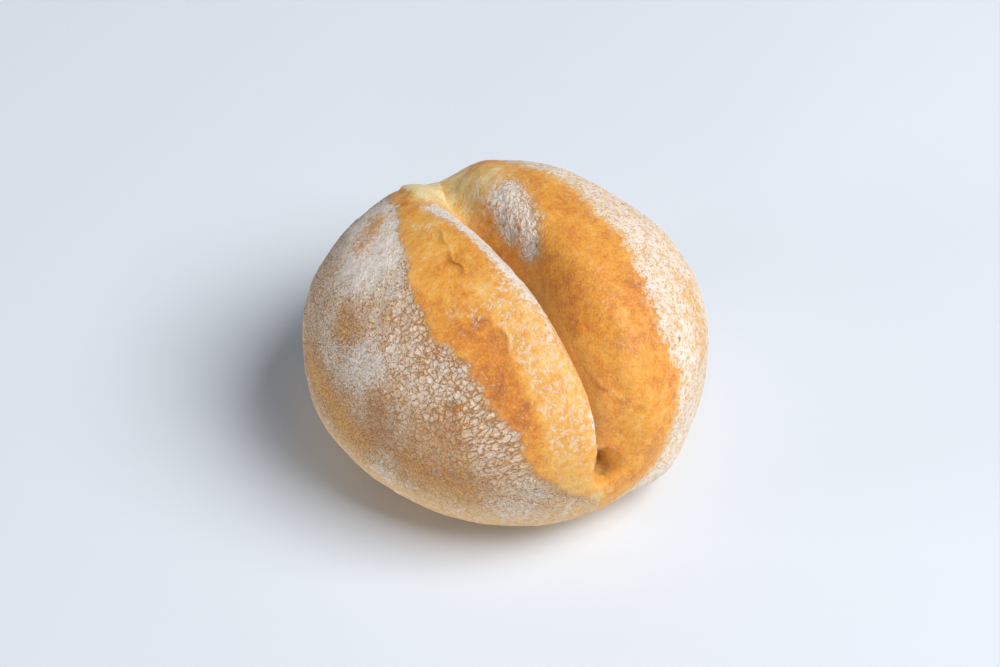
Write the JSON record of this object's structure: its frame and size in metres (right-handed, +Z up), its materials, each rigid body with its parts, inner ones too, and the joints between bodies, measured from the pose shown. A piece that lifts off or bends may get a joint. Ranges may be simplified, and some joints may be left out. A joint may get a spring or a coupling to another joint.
{
  "type": "bread roll",
  "caption": "Round crusty bread roll with two full lobes leaning together over one deep lengthwise crease, flour-dusted, resting on its small flat base.",
  "frame": {"origin": "middle of the roll's footprint, on the plane it rests on", "axes": "+Z up; +Y along the crease to its far end, where it opens into a shallow pale saddle; the larger lobe is on -X"},
  "size_m": [0.0942, 0.0954, 0.0619],
  "materials": {
    "crust": "dry matt baked crust, golden brown with pale flour"
  },
  "bodies": {
    "root": {"roll": "crust"}
  },
  "joints": []
}
